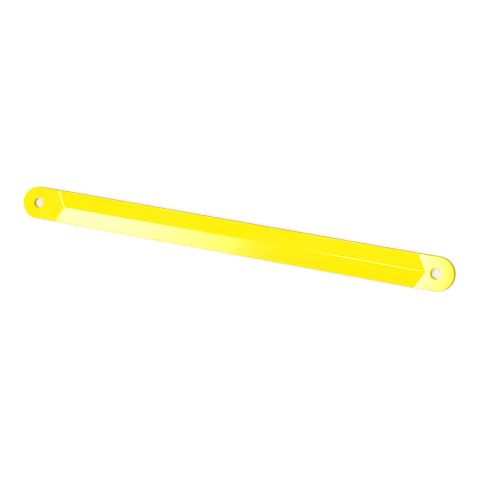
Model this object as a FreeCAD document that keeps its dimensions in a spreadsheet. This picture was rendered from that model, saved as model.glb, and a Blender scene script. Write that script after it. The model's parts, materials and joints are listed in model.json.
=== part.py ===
import FreeCAD, Part
import Sketcher
import os

# Yellow link bar: one moulded strip of even thickness. A shallow V runs along its middle, and a flat,
# round-ended tab with a plain bolt hole sits at each end. The V opens upwards. The tab on the -X side
# turns up out of the V and the tab on the +X side turns down out of it by the same angle, so the two
# tabs are parallel, like the two ends of a crank. Millimetres and degrees. +X runs along the bar, +Z
# points out of the open side of the V, and the part rests on Z = 0.

DIMENSIONS = {
    "bar_width": 30.0,      # across the bar, the same from end to end
    "strip": 5.0,           # thickness of the strip, square to each face
    "hole_spacing": 400.0,  # between the two bolt holes, along X
    "end_margin": 16.0,     # from a hole's axis to the end of its tab
    "hole_bore": 9.0,       # clearance for an M8 bolt
    "facet_tilt": 4.5,      # each half of the V rises this much from the middle line
    "tab_tilt": 8.0,        # each tab turns this much out of the run of the bar
    "fold_inset": 18.0,     # from a hole's axis to its fold, along the bar's side
    "edge_round": 0.6,      # small radius on every outer edge and hole rim
    "spare": 60.0,          # how far the trimming cuts run past the strip
}
LEFT, RIGHT = -1, 1

# A fold crosses the bar as an arrowhead, because the middle of the V lies lower than its sides. Both
# arrowheads point to +X, and each is this long.
ARROW = "(Dimensions.bar_width / 2 * tan(Dimensions.facet_tilt) / tan(Dimensions.tab_tilt))"
HALF_WIDTH = "(Dimensions.bar_width / 2)"
FAR_X = "(Dimensions.hole_spacing / 2 + Dimensions.spare)"
FAR_Y = "(Dimensions.bar_width / 2 + Dimensions.spare)"
DEPTH_IN_V = "(Dimensions.strip / cos(Dimensions.facet_tilt))"
DEPTH_IN_TAB = "(Dimensions.strip / cos(Dimensions.tab_tilt))"


def hole_x(side):
    """Where the tab's hole axis meets its upper plane, along X."""
    return f"({side} * Dimensions.hole_spacing / 2)"


def tab_height(side, place):
    """Height of the tab's upper plane at an X place, from the bottom of the V's open side."""
    arrow_tip = f"({side} * (Dimensions.hole_spacing / 2 - Dimensions.fold_inset) + {ARROW})"
    return f"(({arrow_tip} - {place}) * tan(Dimensions.tab_tilt))"


def v_height(place):
    """Height of the V's upper face at a distance from the middle line."""
    return f"({place} * tan(Dimensions.facet_tilt))"


def make_sheet(doc):
    """Spreadsheet with one aliased row for each driving dimension."""
    sheet = doc.addObject("Spreadsheet::Sheet", "Dimensions")
    for row, (alias, value) in enumerate(DIMENSIONS.items(), start=1):
        sheet.set(f"A{row}", alias)
        sheet.set(f"B{row}", str(value))
        sheet.setAlias(f"B{row}", alias)
    doc.recompute()


def attach_sketch(body, name, role):
    """An empty sketch on the body's own origin plane of the given role."""
    sketch = body.newObject("Sketcher::SketchObject", name)
    plane = next(item for item in body.Origin.OriginFeatures if item.Role == role)
    sketch.AttachmentSupport = [(plane, "")]
    sketch.MapMode = "FlatFace"
    return sketch


def bind(sketch, name, index, expression):
    """Name a constraint and drive it by an expression."""
    sketch.renameConstraint(index, name)
    sketch.setExpression(f"Constraints.{name}", expression)


def pin_point(sketch, geometry, end, place):
    """Hold a point of the sketch at a pair of expressions, measured from the sketch's origin."""
    for kind, expression in zip(("DistanceX", "DistanceY"), place):
        value = float(sketch.evalExpression(expression))
        index = sketch.addConstraint(Sketcher.Constraint(kind, -1, 1, geometry, end, value))
        bind(sketch, f"{kind}_{geometry}_{end}", index, expression)


def draw_polygon(sketch, corners):
    """Closed outline of straight lines through corners, each a pair of expressions."""
    points = [FreeCAD.Vector(*(float(sketch.evalExpression(part)) for part in corner), 0)
              for corner in corners]
    for start, end in zip(points, points[1:] + points[:1]):
        sketch.addGeometry(Part.LineSegment(start, end), False)
    for line, corner in enumerate(corners):
        following = (line + 1) % len(corners)
        sketch.addConstraint(Sketcher.Constraint("Coincident", line, 2, following, 1))
        pin_point(sketch, line, 1, corner)


def draw_tab(sketch, side):
    """Outline of one tab about its hole: straight sides, a full-round end, and the hole."""
    half = float(sketch.evalExpression(HALF_WIDTH))
    centre_expression = f"({side} * (Dimensions.end_margin - {HALF_WIDTH}))"
    inner_expression = f"({-side} * (Dimensions.fold_inset + {ARROW} + Dimensions.strip))"
    centre = float(sketch.evalExpression(centre_expression))
    inner = float(sketch.evalExpression(inner_expression))
    outer_end = FreeCAD.Vector(centre + side * half, 0, 0)
    low, high = FreeCAD.Vector(centre, -half, 0), FreeCAD.Vector(centre, half, 0)
    low_in, high_in = FreeCAD.Vector(inner, -half, 0), FreeCAD.Vector(inner, half, 0)
    first, last = (low, high) if side == RIGHT else (high, low)
    first_in, last_in = (low_in, high_in) if side == RIGHT else (high_in, low_in)
    end_arc = sketch.addGeometry(Part.Arc(first, outer_end, last), False)
    sketch.addGeometry(Part.LineSegment(last, last_in), False)
    sketch.addGeometry(Part.LineSegment(last_in, first_in), False)
    sketch.addGeometry(Part.LineSegment(first_in, first), False)
    sketch.addConstraint(Sketcher.Constraint("Tangent", end_arc, 2, end_arc + 1, 1))
    for line in (end_arc + 1, end_arc + 2):
        sketch.addConstraint(Sketcher.Constraint("Coincident", line, 2, line + 1, 1))
    sketch.addConstraint(Sketcher.Constraint("Tangent", end_arc + 3, 2, end_arc, 1))
    sketch.addConstraint(Sketcher.Constraint("Vertical", end_arc + 2))
    pin_point(sketch, end_arc, 3, (centre_expression, "0"))
    radius = sketch.addConstraint(Sketcher.Constraint("Radius", end_arc, half))
    bind(sketch, "end_radius", radius, HALF_WIDTH)
    place = sketch.addConstraint(Sketcher.Constraint("DistanceX", -1, 1, end_arc + 2, 1, inner))
    bind(sketch, "inner_end", place, inner_expression)
    bore_radius = float(sketch.evalExpression("Dimensions.hole_bore / 2"))
    bore = sketch.addGeometry(Part.Circle(FreeCAD.Vector(), FreeCAD.Vector(0, 0, 1), bore_radius), False)
    sketch.addConstraint(Sketcher.Constraint("Coincident", bore, 3, -1, 1))
    size = sketch.addConstraint(Sketcher.Constraint("Diameter", bore, 2 * bore_radius))
    bind(sketch, "hole_bore", size, "Dimensions.hole_bore")


def add_pad(body, name, sketch, length, **settings):
    """Pad a sketch by an expression."""
    pad = body.newObject("PartDesign::Pad", name)
    pad.Profile = sketch
    for setting, value in settings.items():
        setattr(pad, setting, value)
    pad.setExpression("Length", length)
    sketch.Document.recompute()


def add_cut(body, name, sketch, length, **settings):
    """Pocket a sketch by an expression, and make sure that it took something away."""
    before = body.Shape.Volume
    pocket = body.newObject("PartDesign::Pocket", name)
    pocket.Profile = sketch
    for setting, value in settings.items():
        setattr(pocket, setting, value)
    pocket.setExpression("Length", length)
    sketch.Document.recompute()
    if body.Shape.Volume > before - 1.0:
        raise RuntimeError(f"{name} cuts nothing")


def add_v_strip(body):
    """The V-shaped strip, long enough for both folds and trimmed by them later."""
    sketch = attach_sketch(body, "v_section", "YZ_Plane")
    side = v_height(HALF_WIDTH)
    draw_polygon(sketch, [
        (f"-{HALF_WIDTH}", side), ("0", "0"), (HALF_WIDTH, side),
        (HALF_WIDTH, f"{side} - {DEPTH_IN_V}"), ("0", f"-{DEPTH_IN_V}"),
        (f"-{HALF_WIDTH}", f"{side} - {DEPTH_IN_V}"),
    ])
    run = f"2 * ({hole_x(RIGHT)} - Dimensions.fold_inset + {ARROW} + Dimensions.strip / 4)"
    add_pad(body, "v_strip", sketch, run, Midplane=True)


def add_tab(body, name, side):
    """One flat tab, drawn on its own tilted plane about the hole and padded down by the strip."""
    sketch = attach_sketch(body, f"{name}_outline", "XY_Plane")
    tilt = DIMENSIONS["tab_tilt"]
    sketch.AttachmentOffset = FreeCAD.Placement(
        FreeCAD.Vector(), FreeCAD.Rotation(FreeCAD.Vector(0, 1, 0), tilt))
    sketch.setExpression(".AttachmentOffset.Rotation.Angle", "Dimensions.tab_tilt")
    sketch.setExpression(".AttachmentOffset.Base.x", hole_x(side))
    sketch.setExpression(".AttachmentOffset.Base.z", tab_height(side, hole_x(side)))
    draw_tab(sketch, side)
    add_pad(body, name, sketch, "Dimensions.strip", Reversed=True)


def trim_folds(body):
    """Mitre the strip and the tabs where they meet, above and below each fold."""
    far_left, far_right = f"-{FAR_X}", FAR_X
    under_left = attach_sketch(body, "under_upper_tab", "XZ_Plane")
    draw_polygon(under_left, [
        (far_left, f"{tab_height(LEFT, far_left)} - {DEPTH_IN_TAB}"),
        ("0", f"{tab_height(LEFT, '0')} - {DEPTH_IN_TAB}"),
        ("0", f"{tab_height(LEFT, '0')} - {FAR_Y}"), (far_left, f"{tab_height(LEFT, '0')} - {FAR_Y}"),
    ])
    add_cut(body, "trim_under_upper_tab", under_left, "2 * Dimensions.bar_width", Midplane=True)

    over_right = attach_sketch(body, "over_lower_tab", "XZ_Plane")
    draw_polygon(over_right, [
        (far_right, tab_height(RIGHT, far_right)), ("0", tab_height(RIGHT, "0")),
        ("0", f"{tab_height(RIGHT, '0')} + {FAR_Y}"), (far_right, f"{tab_height(RIGHT, '0')} + {FAR_Y}"),
    ])
    add_cut(body, "trim_over_lower_tab", over_right, "2 * Dimensions.bar_width", Midplane=True)

    under_v = attach_sketch(body, "under_v", "YZ_Plane")
    draw_polygon(under_v, [
        (f"-{FAR_Y}", f"{v_height(FAR_Y)} - {DEPTH_IN_V}"), ("0", f"-{DEPTH_IN_V}"),
        (FAR_Y, f"{v_height(FAR_Y)} - {DEPTH_IN_V}"), (FAR_Y, f"-{FAR_Y}"), (f"-{FAR_Y}", f"-{FAR_Y}"),
    ])
    add_cut(body, "trim_under_v", under_v, FAR_X, Reversed=False)

    over_v = attach_sketch(body, "over_v", "YZ_Plane")
    draw_polygon(over_v, [
        (f"-{FAR_Y}", v_height(FAR_Y)), ("0", "0"), (FAR_Y, v_height(FAR_Y)),
        (FAR_Y, FAR_Y), (f"-{FAR_Y}", FAR_Y),
    ])
    add_cut(body, "trim_over_v", over_v, FAR_X, Reversed=True)


def rim_names(shape, way):
    """Names of the outer and hole rims of the broad faces that look up (way 1) or down (way -1)."""
    broad = [face for face in shape.Faces if way * face.normalAt(0, 0).z > 0.9]
    names = []
    for number, edge in enumerate(shape.Edges, start=1):
        owners = [face for face in broad if any(edge.isSame(other) for other in face.Edges)]
        if len(owners) == 1:
            names.append(f"Edge{number}")
    return names


def round_rims(body, name, way):
    """Small radius along every rim on the upper or the lower side of the bar."""
    trimmed, rims = body.Tip, rim_names(body.Shape, way)
    fillet = body.newObject("PartDesign::Fillet", name)
    fillet.Base = (trimmed, rims)
    fillet.setExpression("Radius", "Dimensions.edge_round")
    body.Document.recompute()


def stand_on_ground(body):
    """Lift the bar so that its lower tab's far end rests on Z = 0, and centre it along X."""
    body.setExpression(".Placement.Base.x", "Dimensions.strip * sin(Dimensions.tab_tilt) / 2")
    drop = (
        f"{tab_height(RIGHT, hole_x(RIGHT))}"
        " - (Dimensions.end_margin - Dimensions.edge_round) * sin(Dimensions.tab_tilt)"
        " - (Dimensions.strip - Dimensions.edge_round) * cos(Dimensions.tab_tilt)"
        " - Dimensions.edge_round"
    )
    body.setExpression(".Placement.Base.z", f"-({drop})")


def add_link_bar(doc):
    """The whole bar as one body: the V strip, its two tabs, the mitred folds and the rounded rims."""
    body = doc.addObject("PartDesign::Body", "link_bar")
    body.Label = "link_bar"
    add_v_strip(body)
    add_tab(body, "upper_tab", LEFT)
    add_tab(body, "lower_tab", RIGHT)
    trim_folds(body)
    round_rims(body, "upper_rims", 1)
    round_rims(body, "lower_rims", -1)
    stand_on_ground(body)
    doc.recompute()
    return body


def check(doc):
    """Stop if any object failed or any body is not one sound solid."""
    for item in doc.Objects:
        if "Invalid" in item.State or "Error" in item.State:
            raise RuntimeError(f"{item.Name} failed: {item.State}")
        if item.isDerivedFrom("PartDesign::Body"):
            if item.Shape.isNull() or not item.Shape.isValid() or len(item.Shape.Solids) != 1:
                raise RuntimeError(f"{item.Label} is not one sound solid")


document = FreeCAD.newDocument("LinkBar")
make_sheet(document)
link_bar = add_link_bar(document)
check(document)
bounds = link_bar.Shape.BoundBox
print(f"{link_bar.Label}: {bounds.XLength:.2f} x {bounds.YLength:.2f} x {bounds.ZLength:.2f} mm,")
print(f"  centre X {bounds.Center.x:.3f}, lowest Z {bounds.ZMin:.3f}, {link_bar.Shape.Volume:.0f} mm3")

os.makedirs("parts", exist_ok=True)
link_bar.Shape.exportStep(f"parts/{link_bar.Label}.step")
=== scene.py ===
import json
import logging
import math
from collections.abc import Callable, Iterable
from dataclasses import dataclass, field
from enum import Enum
from functools import cached_property

import bmesh
import bpy
from mathutils import Matrix, Vector


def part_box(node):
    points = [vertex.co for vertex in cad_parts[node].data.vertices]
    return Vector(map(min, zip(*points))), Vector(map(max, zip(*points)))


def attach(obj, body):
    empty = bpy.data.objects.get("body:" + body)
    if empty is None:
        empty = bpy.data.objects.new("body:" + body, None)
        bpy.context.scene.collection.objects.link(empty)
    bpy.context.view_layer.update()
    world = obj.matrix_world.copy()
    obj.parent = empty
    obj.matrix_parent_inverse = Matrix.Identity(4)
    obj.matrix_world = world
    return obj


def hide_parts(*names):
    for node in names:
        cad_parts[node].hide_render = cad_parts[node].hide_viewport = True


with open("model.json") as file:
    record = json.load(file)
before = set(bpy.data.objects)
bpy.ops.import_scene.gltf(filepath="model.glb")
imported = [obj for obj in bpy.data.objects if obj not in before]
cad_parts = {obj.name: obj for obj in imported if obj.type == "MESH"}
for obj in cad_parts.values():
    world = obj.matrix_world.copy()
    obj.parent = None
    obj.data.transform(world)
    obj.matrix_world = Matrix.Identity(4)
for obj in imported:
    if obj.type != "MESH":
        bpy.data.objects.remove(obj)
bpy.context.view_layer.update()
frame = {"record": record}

MM = 0.001
BODY = "root"
NODE = "link_bar"
LOG = logging.getLogger("link_bar")

Spot = tuple[float, float, float]
Span = tuple[float, float]

WHITE: Spot = (1.0, 1.0, 1.0)
EVEN: Spot = (1.0, 1.0, 1.0)   # coordinates left as they are


class End(Enum):
    """The bar's two ends, by the side of the middle that each lies on."""

    UPPER_TAB = -1
    LOWER_TAB = 1


class Half(Enum):
    """The two facets of the V, by the side of the middle line that each lies on."""

    NEAR = -1
    FAR = 1


class Bench:
    """Small helpers for working on one object in edit mode, as at the bench."""

    @staticmethod
    def clear() -> None:
        """Leave edit mode and deselect every object."""
        if bpy.context.object and bpy.context.object.mode != "OBJECT":
            bpy.ops.object.mode_set(mode="OBJECT")
        bpy.ops.object.select_all(action="DESELECT")

    @staticmethod
    def take(piece: bpy.types.Object) -> None:
        """Make one object the only one selected, and active.

        Args:
            piece: The object to take.
        """
        Bench.clear()
        piece.select_set(True)
        bpy.context.view_layer.objects.active = piece

    @staticmethod
    def edit(piece: bpy.types.Object, part: str = "VERT") -> None:
        """Open an object in edit mode with nothing selected.

        Args:
            piece: The object to open.
            part: What selections pick: VERT, EDGE or FACE.
        """
        Bench.take(piece)
        bpy.ops.object.mode_set(mode="EDIT")
        bpy.ops.mesh.select_mode(type=part)
        bpy.ops.mesh.select_all(action="DESELECT")

    @staticmethod
    def near(x: float, y: float, grab: float) -> Callable[[Vector], bool]:
        """A test for places within a grab of a point in plan."""
        return lambda place: math.hypot(place.x - x, place.y - y) < grab

    @staticmethod
    def pick_points(piece: bpy.types.Object, wanted: Callable[[Vector], bool]) -> None:
        """Select the vertices whose place is wanted, in edit mode.

        Args:
            piece: The object in edit mode.
            wanted: Says whether a vertex at a place is picked.
        """
        mesh = bmesh.from_edit_mesh(piece.data)
        for vertex in mesh.verts:
            vertex.select_set(wanted(vertex.co))
        mesh.select_flush_mode()
        bmesh.update_edit_mesh(piece.data)
        if not any(vertex.select for vertex in mesh.verts):
            raise RuntimeError(f"no vertex of {piece.name} is where one was expected")

    @staticmethod
    def pick_edges(piece: bpy.types.Object, wanted: Callable[[Vector], bool]) -> None:
        """Select the edges with both ends at wanted places, in edit mode.

        Args:
            piece: The object in edit mode.
            wanted: Says whether an edge may have an end at a place.
        """
        mesh = bmesh.from_edit_mesh(piece.data)
        for edge in mesh.edges:
            edge.select_set(all(wanted(vertex.co) for vertex in edge.verts))
        bmesh.update_edit_mesh(piece.data)
        if not any(edge.select for edge in mesh.edges):
            raise RuntimeError(f"no edge of {piece.name} is where one was expected")

    @staticmethod
    def turn(angle: float, axis: str, centre: Spot) -> None:
        """Turn what is selected about a line along a row axis, by the right-hand rule.

        Args:
            angle: How far, in radians.
            axis: X, Y or Z.
            centre: A point on the line.
        """
        bpy.ops.transform.rotate(value=-angle, orient_axis=axis, orient_type="GLOBAL",
                                 center_override=centre)

    @staticmethod
    def scale(factors: Spot, centre: Spot) -> None:
        """Scale what is selected about a point."""
        bpy.ops.transform.resize(value=factors, orient_type="GLOBAL", center_override=centre)

    @staticmethod
    def finish_modifiers(piece: bpy.types.Object) -> None:
        """Apply every modifier on an object, first to last.

        Args:
            piece: The object whose modifiers are applied.
        """
        Bench.take(piece)
        for name in [modifier.name for modifier in piece.modifiers]:
            bpy.ops.object.modifier_apply(modifier=name)


@dataclass(frozen=True)
class BarSizes:
    """Sizes of the bar in metres and radians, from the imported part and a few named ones."""

    facet_tilt: float = math.radians(4.5)
    fold_inset: float = 18 * MM
    end_margin: float = 16 * MM

    @staticmethod
    def mount(name: str) -> dict:
        """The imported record's mount of that name."""
        return next(item for item in frame["record"]["mounts"] if item["name"] == name)

    @cached_property
    def tab_axis(self) -> Vector:
        """Direction of both bolt holes, square to the tabs."""
        return Vector(self.mount("upper_tab_bore")["axis"]).normalized()

    @cached_property
    def tab_tilt(self) -> float:
        """Angle between the tabs and the run of the bar."""
        return math.atan2(self.tab_axis.x, self.tab_axis.z)

    @cached_property
    def bore_radius(self) -> float:
        """Radius of each bolt hole."""
        return self.mount("upper_tab_bore")["dims"]["r_mm"] * MM

    @cached_property
    def strip(self) -> float:
        """Thickness of the strip."""
        top, underside = (Vector(self.mount(f"upper_tab_{face}")["pos_m"]) for face in ("top", "underside"))
        return (top - underside).dot(self.tab_axis)

    @cached_property
    def half_width(self) -> float:
        """Half of the bar's width."""
        low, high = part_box(NODE)
        return (high[1] - low[1]) / 2

    def hole_top(self, end: End) -> Vector:
        """Find where a hole's axis meets its tab's upper face.

        Args:
            end: Which tab.

        Returns:
            The point on the upper face.
        """
        name = end.name.lower()
        on_axis = Vector(self.mount(f"{name}_bore")["pos_m"])
        on_face = Vector(self.mount(f"{name}_top")["pos_m"])
        return on_axis + self.tab_axis * (on_face - on_axis).dot(self.tab_axis)

    @cached_property
    def arrow(self) -> float:
        """How far the middle of a fold runs ahead of its two ends."""
        return self.half_width * math.tan(self.facet_tilt) / math.tan(self.tab_tilt)

    def arrow_tip(self, end: End) -> float:
        """X of the middle of a fold."""
        return self.hole_top(end).x - end.value * self.fold_inset + self.arrow

    @cached_property
    def valley(self) -> float:
        """Height of the bottom of the V's open side.

        Returns:
            The height over the floor, in metres.
        """
        end = End.UPPER_TAB
        run = self.arrow_tip(end) - self.hole_top(end).x
        return self.hole_top(end).z - run * math.tan(self.tab_tilt)


@dataclass
class LinkBar:
    """The yellow bar: a V-folded strip with a flat tab at each end.

    Each tab is drawn flat round its hole and tilted. Its inner side is an arrow, parallel to the fold,
    so that the tilt alone gives that side the strip's V. It is then extruded round the bend in small
    steps, and the two ends of the V are bridged. The sheet gets its thickness last.
    """

    sizes: BarSizes = field(default_factory=BarSizes)
    rim_points: int = 64          # round each hole, and round each tab's outline
    land: float = 6.3 * MM        # radius of the flat ring kept round each hole
    strip_cuts: int = 40          # across the strip, between the tabs
    upper_bend_reach: float = 3.2 * MM  # the upper tab's bend runs this far to each side of its fold
    lower_bend_reach: float = 1.7 * MM  # the lower tab's bend is tighter
    bend_steps: int = 10
    valley_reach: float = 0.75 * MM  # half the width of the V's rounded bottom
    valley_rows: int = 3          # rows of faces on each side of the middle, in that width
    rim_round: float = 0.6 * MM
    rim_steps: int = 4
    rim_angle: float = math.radians(60)  # an edge that turns more than this is rounded
    broad_weight: int = 100       # how far the shading follows the larger faces
    grab: float = 0.02 * MM       # how near a vertex must be to count as on a line

    def build(self) -> bpy.types.Object:
        """Model the bar in place and dress it.

        Returns:
            The finished mesh object.
        """
        tabs = [self.make_tab(end) for end in End]
        bar = self.bridge_strip(tabs)
        self.thicken(bar)
        self.round_rims(bar)
        self.dress(bar)
        return bar

    @staticmethod
    def dress(bar: bpy.types.Object) -> None:
        """Give the bar its finish, and put it in place of the plain solid.

        Args:
            bar: The finished mesh object.
        """
        bar.data.materials.append(GlossYellow().make())
        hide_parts(NODE)
        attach(bar, BODY)

    def reach(self, end: End) -> float:
        """How far a tab's bend runs to each side of its fold."""
        return self.upper_bend_reach if end is End.UPPER_TAB else self.lower_bend_reach

    @cached_property
    def slope(self) -> float:
        """How far a fold falls back along the bar for each unit away from the middle line."""
        return self.sizes.arrow / self.sizes.half_width

    @cached_property
    def corner_point(self) -> int:
        """Outline points from the middle of a tab's inner side to its corner."""
        return self.rim_points // 8

    def row(self, point: int) -> float:
        """Find how far a point on a tab's inner side lies from the middle line.

        Args:
            point: The point's number, counted from the middle of that side.

        Returns:
            The distance, with the sign of the point's number.
        """
        count = abs(point)
        if count <= self.valley_rows:
            away = self.valley_reach * count / self.valley_rows
        else:
            share = (count - self.valley_rows) / (self.corner_point - self.valley_rows)
            away = self.valley_reach + (self.sizes.half_width - self.valley_reach) * share
        return math.copysign(away, point)

    def valley_lift(self, across: float) -> float:
        """How far the rounded bottom of the V stands above the sharp one."""
        short = max(self.valley_reach - abs(across), 0.0)
        return math.tan(self.sizes.facet_tilt) * short * short / (2 * self.valley_reach)

    def make_tab(self, end: End) -> bpy.types.Object:
        """Make one tab with its bend: draw it flat, tilt it, and extrude its inner side.

        Args:
            end: Which tab.

        Returns:
            The tab as an open sheet that ends in a full V.
        """
        tab = self.draw_tab(end)
        sizes = self.sizes
        Bench.edit(tab)
        bpy.ops.mesh.select_all(action="SELECT")
        Bench.turn(sizes.tab_tilt, "Y", (sizes.arrow_tip(end), 0.0, sizes.valley))
        self.draw_bend(tab, end)
        Bench.clear()
        return tab

    def draw_tab(self, end: End) -> bpy.types.Object:
        """Draw one flat tab outwards from its hole: a ring, then the outline.

        Args:
            end: Which tab.

        Returns:
            The tab, level, at the height of the V's middle line.
        """
        sizes, side = self.sizes, end.value
        tip = sizes.arrow_tip(end)
        middle = tip + (sizes.hole_top(end).x - tip) / math.cos(sizes.tab_tilt)
        hole = (middle, 0.0, sizes.valley)
        Bench.clear()
        bpy.ops.mesh.primitive_circle_add(vertices=self.rim_points, radius=sizes.bore_radius,
                                          fill_type="NOTHING", location=hole)
        tab = bpy.context.object
        bpy.ops.object.transform_apply(location=True, rotation=True, scale=True)
        bpy.ops.object.mode_set(mode="EDIT")
        bpy.ops.mesh.select_mode(type="EDGE")
        bpy.ops.mesh.select_all(action="SELECT")
        radius = sizes.bore_radius
        for wider in (self.land, sizes.half_width):
            bpy.ops.mesh.extrude_edges_move()
            Bench.scale((wider / radius, wider / radius, 1.0), hole)
            radius = wider
        slide = side * (sizes.end_margin - sizes.half_width)
        bpy.ops.transform.translate(value=(slide, 0.0, 0.0))
        Bench.clear()
        self.square_inner_half(tab, end, middle + slide)
        return tab

    def square_inner_half(self, tab: bpy.types.Object, end: End, centre: float) -> None:
        """Move the inner half of a tab's round outline onto two straight sides and an arrow.

        Args:
            tab: The flat tab.
            end: Which tab.
            centre: X of the middle of the round outline.
        """
        side, half = end.value, self.sizes.half_width
        flat_slope = self.slope / math.cos(self.sizes.tab_tilt)
        start = self.sizes.arrow_tip(end) + side * self.reach(end)
        corner_x = start - half * flat_slope
        quarter = self.rim_points // 4
        Bench.edit(tab)
        for point in range(1 - quarter, quarter):
            angle = math.tau * point / self.rim_points
            round_x, round_y = centre - side * half * math.cos(angle), half * math.sin(angle)
            if abs(point) <= self.corner_point:
                new_y = self.row(point)
                new_x = start - abs(new_y) * flat_slope
            else:
                new_y = math.copysign(half, point)
                share = (abs(point) - self.corner_point) / (quarter - self.corner_point)
                new_x = corner_x + (centre - corner_x) * share
            Bench.pick_points(tab, Bench.near(round_x, round_y, self.grab))
            bpy.ops.transform.translate(value=(new_x - round_x, new_y - round_y, 0.0))
        Bench.clear()

    def draw_bend(self, tab: bpy.types.Object, end: End) -> None:
        """Extrude a tilted tab's inner side round its bend, until it runs level.

        Args:
            tab: The tilted tab.
            end: Which tab.
        """
        sizes, side = self.sizes, end.value
        front = sizes.arrow_tip(end) + side * self.reach(end) * math.cos(sizes.tab_tilt)
        length = 2 * self.reach(end) / self.bend_steps
        for step in range(self.bend_steps):
            self.pick_column(tab, front)
            angle = sizes.tab_tilt * (1 - (step + 0.5) / self.bend_steps)
            run, drop = length * math.cos(angle), length * math.sin(angle)
            bpy.ops.mesh.extrude_edges_move()
            bpy.ops.transform.translate(value=(-side * run, 0.0, side * drop))
            front -= side * run
            self.open_valley(tab, front)

    def on_arrow(self, front: float, grab: float) -> Callable[[Vector], bool]:
        """A test for places within a grab of the arrow-shaped line with its middle at X = front."""
        return lambda place: abs(place.x - front + abs(place.y) * self.slope) < grab

    def pick_column(self, tab: bpy.types.Object, front: float) -> None:
        """Select the arrow-shaped line of edges whose middle is at X = front."""
        Bench.edit(tab, "EDGE")
        Bench.pick_edges(tab, self.on_arrow(front, self.grab))

    def open_valley(self, tab: bpy.types.Object, front: float) -> None:
        """Lift the middle of a column by one bend step's share of the V's rounded bottom.

        Args:
            tab: The tilted tab.
            front: X of the middle of the column.
        """
        Bench.edit(tab)
        for point in range(1 - self.valley_rows, self.valley_rows):
            across = self.row(point)
            Bench.pick_points(tab, Bench.near(front - abs(across) * self.slope, across, self.grab))
            bpy.ops.transform.translate(value=(0.0, 0.0, self.valley_lift(across) / self.bend_steps))

    def bridge_strip(self, tabs: Iterable[bpy.types.Object]) -> bpy.types.Object:
        """Join the tabs into one sheet and bridge their V ends with the strip.

        Args:
            tabs: The two tabs with their bends.

        Returns:
            The whole sheet, its faces pointing up.
        """
        Bench.clear()
        for tab in tabs:
            tab.select_set(True)
            bpy.context.view_layer.objects.active = tab
        bpy.ops.object.join()
        sheet = bpy.context.object
        sheet.name = sheet.data.name = "formed_link_bar"
        Bench.edit(sheet, "EDGE")
        starts = [self.sizes.arrow_tip(end) - end.value * self.reach(end) for end in End]
        half_step = self.lower_bend_reach / self.bend_steps
        tests = [self.on_arrow(start, half_step) for start in starts]
        Bench.pick_edges(sheet, lambda place: any(test(place) for test in tests))
        bpy.ops.mesh.bridge_edge_loops(number_cuts=self.strip_cuts, interpolation="LINEAR")
        bpy.ops.mesh.select_all(action="SELECT")
        bpy.ops.mesh.remove_doubles(threshold=self.grab / 4)
        bpy.ops.mesh.normals_make_consistent(inside=False)
        Bench.clear()
        if sum(polygon.normal.z for polygon in sheet.data.polygons) < 0:
            Bench.edit(sheet, "FACE")
            bpy.ops.mesh.select_all(action="SELECT")
            bpy.ops.mesh.flip_normals()
            Bench.clear()
        return sheet

    def thicken(self, sheet: bpy.types.Object) -> None:
        """Give the sheet its thickness downwards, with upright sides along the whole bar.

        Args:
            sheet: The whole sheet, its faces pointing up.
        """
        sizes = self.sizes
        wall = sheet.modifiers.new("strip", "SOLIDIFY")
        wall.thickness = sizes.strip
        wall.offset = -1.0
        wall.use_even_offset = True
        wall.use_quality_normals = True
        Bench.finish_modifiers(sheet)
        Bench.edit(sheet)
        lean = 2 * sizes.strip * math.sin(sizes.facet_tilt)
        low, high = (sizes.arrow_tip(end) - sizes.arrow + end.value * self.reach(end) for end in End)
        for half in Half:
            Bench.pick_points(sheet, lambda place: half.value * place.y > sizes.half_width - lean
                              and low - lean < place.x < high + lean)
            Bench.scale((1.0, 0.0, 1.0), (0.0, half.value * sizes.half_width, 0.0))
        Bench.clear()

    def round_rims(self, bar: bpy.types.Object) -> None:
        """Round every outer edge and hole rim, and shade the bar by its broad faces.

        Args:
            bar: The bar with its full thickness.
        """
        rims = bar.modifiers.new("rim_rounds", "BEVEL")
        rims.limit_method = "ANGLE"
        rims.angle_limit = self.rim_angle
        rims.width = self.rim_round
        rims.segments = self.rim_steps
        rims.profile = 0.5
        Bench.finish_modifiers(bar)
        bpy.ops.object.shade_smooth()
        weights = bar.modifiers.new("broad_faces", "WEIGHTED_NORMAL")
        weights.weight = self.broad_weight
        weights.keep_sharp = True
        Bench.finish_modifiers(bar)


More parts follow.
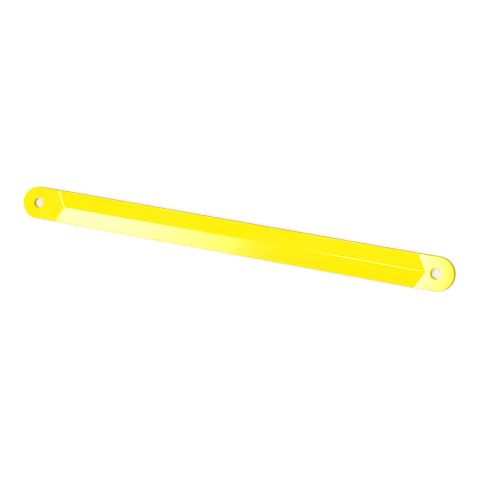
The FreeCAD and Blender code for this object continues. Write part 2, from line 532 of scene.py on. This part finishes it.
class NodeBench:
    """Short calls for laying out one material's nodes."""

    lump_roughness: float = 0.55  # how strong a cloud's finer layers are

    def __init__(self, name: str) -> None:
        """Make a material with a fresh Principled shader.

        Args:
            name: The material's name.
        """
        self.material = bpy.data.materials.new(name)
        self.material.use_nodes = True
        self.tree = self.material.node_tree
        self.shader = self.tree.nodes["Principled BSDF"]
        self.output = self.tree.nodes["Material Output"]

    def add(self, kind: str, **values: float) -> bpy.types.Node:
        """Add a node and set some of its inputs.

        Args:
            kind: The node's type.
            values: Input values, by the input's name with _ for a space.

        Returns:
            The new node.
        """
        node = self.tree.nodes.new(kind)
        for name, value in values.items():
            node.inputs[name.replace("_", " ")].default_value = value
        return node

    def times(self, one: bpy.types.NodeSocket, other: bpy.types.NodeSocket) -> bpy.types.NodeSocket:
        """Multiply two values.

        Args:
            one: The first value.
            other: The second value.

        Returns:
            Their product.
        """
        product = self.add("ShaderNodeMath")
        product.operation = "MULTIPLY"
        self.join(one, product.inputs[0])
        self.join(other, product.inputs[1])
        return product.outputs["Value"]

    def glow(self, strength: bpy.types.NodeSocket, colour: Spot = WHITE) -> None:
        """Make the whole material a light.

        Args:
            strength: The value that gives its strength.
            colour: Its colour.
        """
        light = self.add("ShaderNodeEmission", Color=(*colour, 1.0))
        self.join(strength, light.inputs["Strength"])
        self.join(light.outputs["Emission"], self.output.inputs["Surface"])

    def join(self, source: bpy.types.NodeSocket, target: bpy.types.NodeSocket) -> None:
        """Link one socket to another."""
        self.tree.links.new(source, target)

    def place(self, squeeze: Spot = EVEN) -> bpy.types.NodeSocket:
        """Read Object coordinates.

        Args:
            squeeze: Factors along the three axes. Under 1, a pattern is drawn out along that axis.

        Returns:
            The scaled coordinates.
        """
        spot = self.add("ShaderNodeTexCoord")
        mapping = self.add("ShaderNodeMapping", Scale=squeeze)
        self.join(spot.outputs["Object"], mapping.inputs["Vector"])
        return mapping.outputs["Vector"]

    def noise(self, scale: float, detail: float = 2.0,
              squeeze: Spot = EVEN) -> bpy.types.NodeSocket:
        """Lay out a cloud of values near a half.

        Args:
            scale: Lumps to the metre.
            detail: How many finer layers lie over the lumps.
            squeeze: Factors on the coordinates along the three axes.

        Returns:
            The cloud's value.
        """
        cloud = self.add("ShaderNodeTexNoise", Scale=scale, Detail=detail, Roughness=self.lump_roughness)
        self.join(self.place(squeeze), cloud.inputs["Vector"])
        return cloud.outputs["Fac"]

    def ramp(self, value: bpy.types.NodeSocket, start: float, end: float,
             low: float, high: float, kind: str = "SMOOTHSTEP") -> bpy.types.NodeSocket:
        """Spread a value over a new range, and hold it at the range's ends.

        Args:
            value: The value to spread.
            start: The value that gives low.
            end: The value that gives high.
            low: The result at start.
            high: The result at end.
            kind: SMOOTHSTEP for a soft slope, or LINEAR for an even one.

        Returns:
            The spread value.
        """
        spread = self.add("ShaderNodeMapRange", From_Min=start, From_Max=end, To_Min=low, To_Max=high)
        spread.interpolation_type = kind
        self.join(value, spread.inputs["Value"])
        return spread.outputs["Result"]


@dataclass(frozen=True)
class GlossYellow:
    """Moulded yellow gloss plastic, coloured through.

    Scales count lumps to the metre. A range is the stretch of a cloud's values over which a change
    comes in.
    """

    colour: Spot = (0.97, 0.835, 0.0012)
    deeper: Spot = (0.955, 0.805, 0.0010)
    streak_scale: float = 30.0
    streak_squeeze: Spot = (0.15, 1.0, 1.0)
    streak_range: Span = (0.42, 0.66)
    polish: float = 0.06          # roughness where the gloss is best
    haze: float = 0.10            # roughness where handling has dulled it
    patch_scale: float = 38.0
    patch_detail: float = 3.0
    patch_range: Span = (0.35, 0.7)
    rub_haze: float = 0.03        # roughness that a rubbed mark adds
    rub_scale: float = 900.0
    rub_detail: float = 4.0
    rub_squeeze: Spot = (0.06, 1.0, 1.0)
    rub_range: Span = (0.60, 0.72)
    ripple_detail: float = 1.0
    peel_scale: float = 210.0     # ripples to the metre in the moulded skin
    peel_depth: float = 0.012 * MM
    sway_scale: float = 16.0      # slow waves to the metre, from cooling in the mould
    sway_depth: float = 0.05 * MM
    index: float = 1.49

    def make(self) -> bpy.types.Material:
        """Build the material.

        Returns:
            A material whose patterns read Object coordinates.
        """
        bench = NodeBench("gloss_yellow_plastic")
        bench.shader.inputs["IOR"].default_value = self.index
        self.tint(bench)
        self.dull(bench)
        self.ripple(bench)
        return bench.material

    def tint(self, bench: NodeBench) -> None:
        """Vary the yellow very slightly in long streaks, as the melt ran along the mould.

        Args:
            bench: The material's nodes.
        """
        mix = bench.add("ShaderNodeMix")
        mix.data_type = "RGBA"
        colours = [socket for socket in mix.inputs if socket.type == "RGBA"]
        for socket, shade in zip(colours, (self.colour, self.deeper)):
            socket.default_value = (*shade, 1.0)
        streaks = bench.noise(self.streak_scale, squeeze=self.streak_squeeze)
        bench.join(bench.ramp(streaks, *self.streak_range, 0.0, 1.0), mix.inputs["Factor"])
        result = next(socket for socket in mix.outputs if socket.type == "RGBA")
        bench.join(result, bench.shader.inputs["Base Color"])

    def dull(self, bench: NodeBench) -> None:
        """Let the gloss come and go in soft patches, with fine rubbed marks along the bar.

        Args:
            bench: The material's nodes.
        """
        clouds = bench.noise(self.patch_scale, self.patch_detail)
        patches = bench.ramp(clouds, *self.patch_range, self.polish, self.haze)
        marks = bench.noise(self.rub_scale, self.rub_detail, self.rub_squeeze)
        rubs = bench.ramp(marks, *self.rub_range, 0.0, self.rub_haze)
        total = bench.add("ShaderNodeMath")
        bench.join(patches, total.inputs[0])
        bench.join(rubs, total.inputs[1])
        bench.join(total.outputs["Value"], bench.shader.inputs["Roughness"])

    def ripple(self, bench: NodeBench) -> None:
        """Ripple the skin: fine moulded texture over slow waves.

        Args:
            bench: The material's nodes.
        """
        normal = None
        for scale, depth in ((self.sway_scale, self.sway_depth), (self.peel_scale, self.peel_depth)):
            bump = bench.add("ShaderNodeBump", Strength=1.0, Distance=depth)
            bench.join(bench.noise(scale, self.ripple_detail), bump.inputs["Height"])
            if normal is not None:
                bench.join(normal, bump.inputs["Normal"])
            normal = bump.outputs["Normal"]
        bench.join(normal, bench.shader.inputs["Normal"])


def show_only_in_gloss(lamp: bpy.types.Object) -> None:
    """Stage a glowing object that lights nothing and is seen only in reflections.

    Args:
        lamp: The glowing object.
    """
    lamp.visible_camera = False
    lamp.visible_diffuse = False
    lamp.visible_shadow = False


@dataclass(frozen=True)
class SoftPanel:
    """A glowing panel over the bar, for its gloss to reflect, that fades out at its edges."""

    name: str
    middle: Span
    size: Span
    glow: float
    fade: tuple[float, float, float, float]   # at the low X, high X, low Y and high Y edges
    overrun: float = 0.0   # how far past the high X edge that edge's fade would end
    height: float = 2.0
    tint: Spot = (1.0, 1.0, 0.97)

    def hang(self) -> None:
        """Hang the panel, facing down, where only reflections see it."""
        Bench.clear()
        bpy.ops.mesh.primitive_plane_add(size=1.0, location=(*self.middle, self.height))
        panel = bpy.context.object
        panel.name = self.name
        panel.scale = (*self.size, 1.0)
        bpy.ops.object.transform_apply(location=True, rotation=True, scale=True)
        panel.data.materials.append(self.glowing())
        show_only_in_gloss(panel)

    def glowing(self) -> bpy.types.Material:
        """Build the panel's material: light that fades towards each edge.

        Returns:
            The material.
        """
        bench = NodeBench(self.name)
        split = bench.add("ShaderNodeSeparateXYZ")
        bench.join(bench.place(), split.inputs["Vector"])
        low_x, high_x, low_y, high_y = (self.middle[axis] + way * self.size[axis] / 2
                                        for axis in (0, 1) for way in (-1, 1))
        high_x += self.overrun
        edges = (("X", high_x, high_x - self.fade[1]), ("Y", low_y, low_y + self.fade[2]),
                 ("Y", high_y, high_y - self.fade[3]))
        strength = bench.ramp(split.outputs["X"], low_x, low_x + self.fade[0], 0.0, self.glow, "LINEAR")
        for axis, start, end in edges:
            share = bench.ramp(split.outputs[axis], start, end, 0.0, 1.0, "LINEAR")
            strength = bench.times(strength, share)
        bench.glow(strength, self.tint)
        return bench.material


@dataclass(frozen=True)
class SoftBand:
    """A glowing band all round at a low height, for the gloss to reflect in low views."""

    reach: float = 4.0
    sides: int = 64
    full: float = 2.3             # height at which it glows most
    top: float = 4.6
    glow: float = 1.0
    foot: float = 0.10            # share of the glow that is left at the floor

    def hang(self) -> None:
        """Stand the band on the floor, where only reflections see it."""
        Bench.clear()
        bpy.ops.mesh.primitive_cylinder_add(vertices=self.sides, radius=self.reach, depth=self.top,
                                            end_fill_type="NOTHING", location=(0.0, 0.0, self.top / 2))
        band = bpy.context.object
        band.name = "low_band"
        bpy.ops.object.transform_apply(location=True, rotation=True, scale=True)
        bench = NodeBench("low_band")
        split = bench.add("ShaderNodeSeparateXYZ")
        bench.join(bench.place(), split.inputs["Vector"])
        rise = bench.ramp(split.outputs["Z"], 0.0, self.full, self.foot, 1.0)
        fall = bench.ramp(split.outputs["Z"], self.top, self.full, 0.0, self.glow)
        bench.glow(bench.times(rise, fall))
        band.data.materials.append(bench.material)
        show_only_in_gloss(band)


@dataclass(frozen=True)
class Studio:
    """A pale floor, even soft light, and panels that the gloss reflects."""

    floor_reach: float = 12.0
    floor_shade: Spot = (0.45, 0.45, 0.45)
    floor_roughness: float = 0.9
    floor_specular: float = 0.1
    floor_glow: float = 0.65
    daylight: float = 1.20        # overhead
    duskiness: float = 0.22       # at the horizon, so that upright faces look deeper
    sky_rise: float = 0.6         # upward share of a direction from which the sky is at its full
    panels: tuple[SoftPanel, ...] = (
        SoftPanel("long_panel", (-1.28, 0.13), (0.66, 0.34), 13.2, (0.05, 0.35, 0.08, 0.08), 0.06),
        SoftPanel("tab_panel", (-0.02, -0.165), (0.28, 0.22), 19.0, (0.03, 0.12, 0.06, 0.06)),
        SoftPanel("fold_panel", (-1.07, -0.295), (0.32, 0.14), 8.0, (0.04, 0.03, 0.02, 0.02)),
        SoftPanel("ridge_panel", (-0.675, -0.315), (0.24, 0.11), 24.0, (0.05, 0.03, 0.02, 0.02)),
    )

    def lay_floor(self) -> None:
        """Lay the pale floor that the bar rests on."""
        Bench.clear()
        bpy.ops.mesh.primitive_plane_add(size=self.floor_reach)
        floor = bpy.context.object
        floor.name = "pale_floor"
        bench = NodeBench("pale_floor")
        bench.shader.inputs["Base Color"].default_value = (*self.floor_shade, 1.0)
        bench.shader.inputs["Roughness"].default_value = self.floor_roughness
        bench.shader.inputs["Specular IOR Level"].default_value = self.floor_specular
        bench.shader.inputs["Emission Color"].default_value = (*WHITE, 1.0)
        bench.shader.inputs["Emission Strength"].default_value = self.floor_glow
        floor.data.materials.append(bench.material)
        floor.visible_glossy = False
        floor.visible_diffuse = False

    def light(self) -> None:
        """Light the floor evenly from all round, and hang the panels."""
        world = bpy.data.worlds.new("studio")
        bpy.context.scene.world = world
        world.use_nodes = True
        nodes, links = world.node_tree.nodes, world.node_tree.links
        sky = nodes["Background"]
        sky.inputs["Color"].default_value = (*WHITE, 1.0)
        heading = nodes.new("ShaderNodeTexCoord")
        split = nodes.new("ShaderNodeSeparateXYZ")
        rise = nodes.new("ShaderNodeMapRange")
        rise.interpolation_type = "SMOOTHSTEP"
        rise.inputs["From Max"].default_value = self.sky_rise
        rise.inputs["To Min"].default_value = self.duskiness
        rise.inputs["To Max"].default_value = self.daylight
        links.new(heading.outputs["Generated"], split.inputs["Vector"])
        links.new(split.outputs["Z"], rise.inputs["Value"])
        links.new(rise.outputs["Result"], sky.inputs["Strength"])
        world.cycles_visibility.glossy = False
        for panel in self.panels:
            panel.hang()
        SoftBand().hang()


@dataclass(frozen=True)
class ProductCamera:
    """The camera, looking down on the bar from beyond its lower tab."""

    distance: float = 1.6150
    azimuth: float = math.radians(100.22)
    elevation: float = math.radians(63.40)
    roll: float = math.radians(-91.15)
    lens: float = 135.81
    near_clip: float = 0.05
    aim: Spot = (13.38 * MM, -1.08 * MM, 8.45 * MM)

    def place(self) -> None:
        """Create the camera and make it the scene's own."""
        level = math.cos(self.elevation)
        back = Vector((math.sin(self.azimuth) * level, -math.cos(self.azimuth) * level,
                       math.sin(self.elevation)))
        data = bpy.data.cameras.new("product_camera")
        data.lens = self.lens
        data.clip_start = self.near_clip
        camera = bpy.data.objects.new("product_camera", data)
        bpy.context.collection.objects.link(camera)
        turn = (-back).to_track_quat("-Z", "Y").to_matrix().to_4x4() @ Matrix.Rotation(self.roll, 4, "Z")
        camera.matrix_world = Matrix.Translation(Vector(self.aim) + back * self.distance) @ turn
        bpy.context.scene.camera = camera


def main() -> None:
    """Build the bar, dress it, and set up the studio."""
    logging.basicConfig(level=logging.INFO, format="%(name)s: %(message)s")
    bpy.context.scene.view_settings.view_transform = "Standard"
    ProductCamera().place()
    bar = LinkBar().build()
    LOG.info("%s: %d faces", bar.name, len(bar.data.polygons))
    studio = Studio()
    studio.lay_floor()
    studio.light()


if __name__ == "__main__":
    main()
